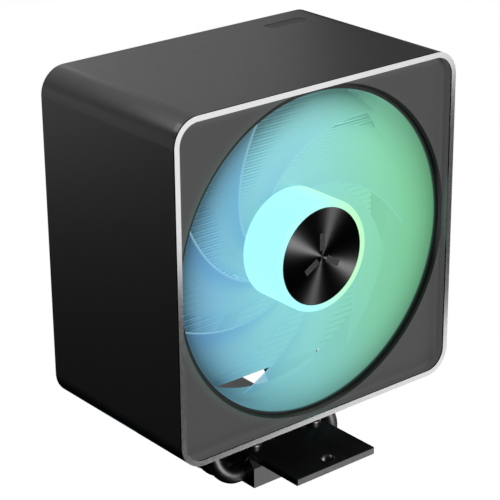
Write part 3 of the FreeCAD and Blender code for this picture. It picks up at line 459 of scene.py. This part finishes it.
def bar_black():
    """Glossy black bar; the walls of its two end holes are bare metal."""
    s = Surface("bar_black", Metallic=0.95)
    place = s.split(s.object_place())
    across = s.math("SUBTRACT", place[0], BAR_CENTRE_X)
    along = s.math("SUBTRACT", s.away(place[1], BAR_CENTRE_Y), BAR_HOLE_Y)
    radius = s.length(across, along)
    in_hole = s.span(radius, BAR_HOLE_RADIUS + 0.0001, BAR_HOLE_RADIUS + 0.0003, 1.0, 0.0)
    coat = s.mix(s.noise(60.0, 4.0), (0.155, 0.155, 0.157, 1), (0.175, 0.175, 0.177, 1))
    s.set("Base Color", s.mix(in_hole, coat, (0.62, 0.62, 0.62, 1)))
    streaks = s.noise(240.0, 3.0, vector=s.stretched(s.object_place(), (1.0, 0.12, 1.0)))
    s.set("Roughness", s.span(streaks, 0.35, 0.65, 0.16, 0.24))
    s.bump(s.noise(3500.0, 2.0), 0.03, 0.0001)
    return s.material


def pipe_black():
    """Black plated pipes; where they stand behind the fan, its light is painted on as emission."""
    s = Surface("pipe_black", Metallic=1.0, Emission_Strength=1.0)
    s.tinted((0.15, 0.15, 0.153), 0.08, 150.0)
    s.rough(0.36, 0.44, 600.0)
    s.bump(s.noise(1500.0, 3.0), 0.05, 0.0001)
    light = painted_lamp_light(s)
    inside = s.span(light.radius, DUCT_RADIUS, DUCT_RADIUS + 0.002, 1.0, 0.0)
    paint_light_in_stack(s, light.colour, inside, light.place[1], 0.9)
    return s.material


def fin_black():
    """Coated fins; the lamps' light on the part towards the fan is painted on as emission, with painted
    pale highlight lines on the front edges and halfway between them.
    """
    s = Surface("fin_black", Metallic=1.0, Emission_Strength=1.0)
    s.tinted((0.16, 0.16, 0.165), 0.10, 200.0)
    s.rough(0.34, 0.46, 500.0)
    s.bump(s.noise(1800.0, 2.0), 0.05, 0.0001)
    light = painted_lamp_light(s)
    normal = s.true_normal()
    inside = s.span(light.radius, DUCT_RADIUS + 0.006, DUCT_RADIUS + 0.010, 1.0, 0.0)
    lowest = s.math("LESS_THAN", light.place[2], fin_low.z + 0.001)
    underside = s.product(lowest, s.math("LESS_THAN", normal[2], -0.5))
    share = s.product(inside, s.math("SUBTRACT", 1.0, underside))
    comb = upper_left(s, light)
    # painted highlights: pale lines on the fins' front faces and halfway back, stronger where they show
    # as a comb
    front = s.span(normal[1], -0.9, -0.5, 1.0, 0.0)
    halfway = s.span(s.away(light.place[1], SECOND_PAINTED_LINE_Y), 0.0002, 0.0005, 1.0, 0.0)
    face = s.mix(comb, (0.97, 0.97, 0.97, 1), (0.54, 0.68, 0.80, 1))
    line = s.mix(comb, WHITE, (1.60, 1.42, 1.28, 1))
    glow = s.times(light.colour, s.mix(s.math("MAXIMUM", front, halfway), face, line))
    paint_light_in_stack(s, glow, share, light.place[1])
    return s.material


def layered(name, pitch, dark, light, roughness, strength, distance):
    """Metal in fine layers along the fan's axis, such as stacked sheets or wound wire."""
    s = Surface(name, Metallic=1.0)
    place = s.split(s.object_place())
    wave = s.math("SINE", s.math("MULTIPLY", place[1], 2 * math.pi / pitch))
    s.set("Base Color", s.mix(s.span(wave, -1, 1, 0, 1), dark, light))
    s.set("Roughness", roughness)
    s.bump(wave, strength, distance)
    return s.material


def led_white():
    """The lamps themselves."""
    s = Surface("led_white", Emission_Strength=2.0)
    s.tinted((0.9, 0.95, 0.9), 0.05, 900.0)
    s.set("Emission Color", s.mix(s.noise(800.0), (0.6, 1.0, 0.95, 1), (0.75, 1.0, 0.98, 1)))
    s.set("Roughness", 0.25)
    return s.material


def finish_slots():
    """Every slot of the record with its node material."""
    return {
        "shroud_black": shroud_black(),
        "trim_bright": trim_bright(),
        "panel_black": panel_black(),
        "badge_grey": badge_grey(),
        "frame_black": frame_black(),
        "impeller_frosted": impeller_frosted(),
        "cap_spun": cap_spun(),
        "emblem_grey": plain("emblem_grey", (0.045, 0.045, 0.046), (0.5, 0.6)),
        "steel": plain("steel", (0.55, 0.55, 0.56), (0.25, 0.35), 1.0),
        "magnet": plain("magnet", (0.03, 0.03, 0.03), (0.6, 0.75)),
        "lamination": layered("lamination", 0.0005, (0.20, 0.20, 0.21, 1), (0.36, 0.36, 0.37, 1),
                              0.42, 0.3, 0.0001),
        "copper_wire": layered("copper_wire", 0.0006, (0.45, 0.16, 0.06, 1), (0.80, 0.36, 0.17, 1),
                               0.28, 0.6, 0.0002),
        "insulator_plastic": plain("insulator_plastic", (0.72, 0.70, 0.65), (0.4, 0.5)),
        "board_green": plain("board_green", (0.02, 0.13, 0.05), (0.25, 0.35), cloud=400.0),
        "led_white": led_white(),
        "brass": plain("brass", (0.70, 0.52, 0.22), (0.22, 0.32), 1.0),
        "bronze": plain("bronze", (0.50, 0.32, 0.16), (0.4, 0.55), 1.0, cloud=900.0),
        "washer_rubber": plain("washer_rubber", (0.03, 0.03, 0.03), (0.6, 0.7)),
        "fin_black": fin_black(),
        "pipe_black": pipe_black(),
        "base_black": plain("base_black", (0.12, 0.12, 0.122), (0.08, 0.14), 1.0, 0.05,
                            grain_strength=0.02),
        "bar_black": bar_black(),
        "screw_black": plain("screw_black", (0.18, 0.18, 0.185), (0.25, 0.35), 1.0),
        "foam_black": plain("foam_black", (0.02, 0.02, 0.02), (0.8, 0.9), cloud=800.0,
                            grain=1800.0, grain_strength=0.7),
        "socket_black": plain("socket_black", (0.02, 0.02, 0.02), (0.4, 0.5)),
    }


def dress_nodes():
    """Give each CAD node the material of its slot, which is its imported material's name."""
    finishes = finish_slots()
    for name, node in nodes.items():
        slot_name = node.data.materials[0].name.split(".")[0]
        node.data.materials.clear()
        node.data.materials.append(finishes[slot_name])


# ---------------------------------------------------------------- light, floor and camera

# Where the camera stands, in metres, which ways are right and down in its picture, and its lens
CAMERA_PLACE = Vector((-0.4066, -0.4948, 0.3461))
CAMERA_RIGHT = Vector((0.7713, -0.6364, -0.0086))
CAMERA_DOWN = Vector((-0.2487, -0.2889, -0.9245))
CAMERA_LENS = 137.4
SENSOR = 36.0


def add_camera():
    data = bpy.data.cameras.new("camera")
    data.lens = CAMERA_LENS
    data.sensor_width = SENSOR
    data.clip_start = 0.01
    data.clip_end = 20.0
    camera = bpy.data.objects.new("camera", data)
    bpy.context.scene.collection.objects.link(camera)
    right = CAMERA_RIGHT.normalized()
    up = -(CAMERA_DOWN - right * CAMERA_DOWN.dot(right)).normalized()
    back = right.cross(up)
    turn = Matrix((right, up, back)).transposed()
    camera.matrix_world = Matrix.Translation(CAMERA_PLACE) @ turn.to_4x4()
    bpy.context.scene.camera = camera


def only_lights(made, names):
    """The lamp reaches only these CAD nodes."""
    group = bpy.data.collections.new(made.name + "_receivers")
    for name in names:
        group.objects.link(nodes[name])
    made.light_linking.receiver_collection = group


def lamp(name, place, right, up, width, height, strength):
    """A rectangular lamp with the given radiance; it shines along the cross product up x right."""
    data = bpy.data.lights.new(name, "AREA")
    data.shape = "RECTANGLE"
    data.size = width
    data.size_y = height
    data.energy = strength * width * height * math.pi
    made = bpy.data.objects.new(name, data)
    bpy.context.scene.collection.objects.link(made)
    turn = Matrix((right, up, right.cross(up))).transposed()
    made.matrix_world = Matrix.Translation(place) @ turn.to_4x4()
    made.visible_camera = False
    return made


def softbox(name, direction, distance, width, height, strength, aim):
    """A lamp that stands in the given direction from the aim point and shines at it."""
    away = Vector(direction).normalized()
    right = Vector((0, 0, 1)).cross(away).normalized()
    return lamp(name, aim + away * distance, right, away.cross(right), width, height, strength)


CENTRE = Vector((0, 0, 0.09))
CAP_CENTRE = Vector((AXIS_X, shroud_low.y, AXIS_Z))
CAP_NODES = ["hub_cap"]
TRIM_NODES = ["front_trim"]
LOW_NODES = ["base_block", "mounting_bar", "bar_screws"] + [name for name in nodes if "pipe" in name]
BODY_NODES = [name for name in nodes if name not in CAP_NODES + TRIM_NODES]
CARD_DISTANCE = 0.60
CARD_TURN = math.radians(36.0)
CARD_SIZE = (0.60, 0.34)
# Name, gap from the middle of the dark band, side of the band, strength
CARDS = (("card_upper", 0.031, 1, 0.85), ("card_lower", 0.094, -1, 0.83))


def reflector_cards():
    """Two cards that the bright front edge mirrors, with a dark slanted band between them."""
    right = CAMERA_RIGHT.normalized()
    up = -CAMERA_DOWN.normalized()
    forward = up.cross(right)
    front_y = shroud_low.y
    centre = Vector((AXIS_X, front_y, AXIS_Z)) + forward * CARD_DISTANCE
    along = right * math.cos(CARD_TURN) + up * math.sin(CARD_TURN)
    across = up * math.cos(CARD_TURN) - right * math.sin(CARD_TURN)

    def mirrored(vector, is_place=False):
        shift = 2 * front_y if is_place else 0.0
        return Vector((vector.x, shift - vector.y, vector.z))

    for name, gap, side, strength in CARDS:
        place = centre + across * side * (gap + CARD_SIZE[1] / 2)
        card = lamp(name, mirrored(place, True), mirrored(along), mirrored(across), *CARD_SIZE, strength)
        only_lights(card, [node for node in nodes if node not in CAP_NODES])


# Name, nodes it lights, direction, distance, width, height, strength, aim
SOFTBOXES = (
    ("cap_front", CAP_NODES, (-0.05, -1.0, 0.03), 0.8, 0.16, 0.16, 16.0, CAP_CENTRE),
    ("cap_side", CAP_NODES, (0.757, -0.65, 0.089), 0.8, 0.12, 0.16, 7.0, CAP_CENTRE),
    ("trim_fill", TRIM_NODES, (0.30, -1.0, -0.10), 0.9, 1.8, 1.6, 0.07, CAP_CENTRE),
    ("low_front", LOW_NODES, (0.586, -0.715, -0.381), 0.7, 0.5, 0.4, 0.25, CENTRE),
    ("overhead", BODY_NODES, (0.05, 0.25, 1.0), 0.9, 1.0, 1.0, 1.4, CENTRE),
    ("near_left", BODY_NODES, (-0.13, 0.05, 0.18), 0.23, 0.08, 0.08, 6.0, CENTRE),
    ("front", BODY_NODES, (0.10, -1.0, 0.25), 1.1, 0.8, 0.6, 3.6, CENTRE),
    ("sheen_top", BODY_NODES, (0.42, 0.90, 0.36), 1.0, 0.60, 0.5, 0.39, CENTRE),
    ("sheen_left", BODY_NODES, (-0.50, 0.85, -0.05), 1.0, 0.6, 0.5, 0.45, CENTRE),
    ("rear", BODY_NODES, (0.10, 1.0, 0.10), 1.2, 0.9, 0.8, 3.0, CENTRE),
    ("right", BODY_NODES, (1.0, 0.3, 0.06), 1.2, 0.9, 0.7, 1.9, CENTRE),
    ("trim_left", TRIM_NODES, (-0.60, -0.72, -0.28), 1.0, 1.3, 1.3, 0.45, CENTRE),
)


def add_lights():
    reflector_cards()
    for name, receivers, *numbers in SOFTBOXES:
        only_lights(softbox(name, *numbers), receivers)


FLOOR_HALF_SIZE = 3.0


def add_floor():
    """A white floor that the camera sees but that throws no light or shadow back."""
    corners = [(x * FLOOR_HALF_SIZE, y * FLOOR_HALF_SIZE, 0)
               for x, y in ((-1, -1), (1, -1), (1, 1), (-1, 1))]
    data = bpy.data.meshes.new("floor")
    data.from_pydata(corners, [], [(0, 1, 2, 3)])
    floor = bpy.data.objects.new("floor", data)
    bpy.context.scene.collection.objects.link(floor)
    s = Surface("floor", Roughness=0.9, Specular_IOR_Level=0.0, Emission_Strength=1.0)
    s.set("Base Color", s.mix(s.noise(2.0), (0.79, 0.79, 0.79, 1), (0.81, 0.81, 0.81, 1)))
    s.set("Emission Color", WHITE)
    data.materials.append(s.material)
    floor.visible_glossy = False
    floor.visible_diffuse = False
    floor.visible_shadow = False
    floor.visible_transmission = False


def add_world():
    """A white surrounding that only the camera sees."""
    world = bpy.data.worlds.new("studio")
    world.use_nodes = True
    background = world.node_tree.nodes["Background"]
    background.inputs["Color"].default_value = WHITE
    background.inputs["Strength"].default_value = 1.0
    world.cycles_visibility.diffuse = False
    world.cycles_visibility.glossy = False
    world.cycles_visibility.transmission = False
    bpy.context.scene.world = world


dress_nodes()
add_floor()
add_world()
add_lights()
add_camera()
bpy.context.scene.view_settings.view_transform = "Standard"
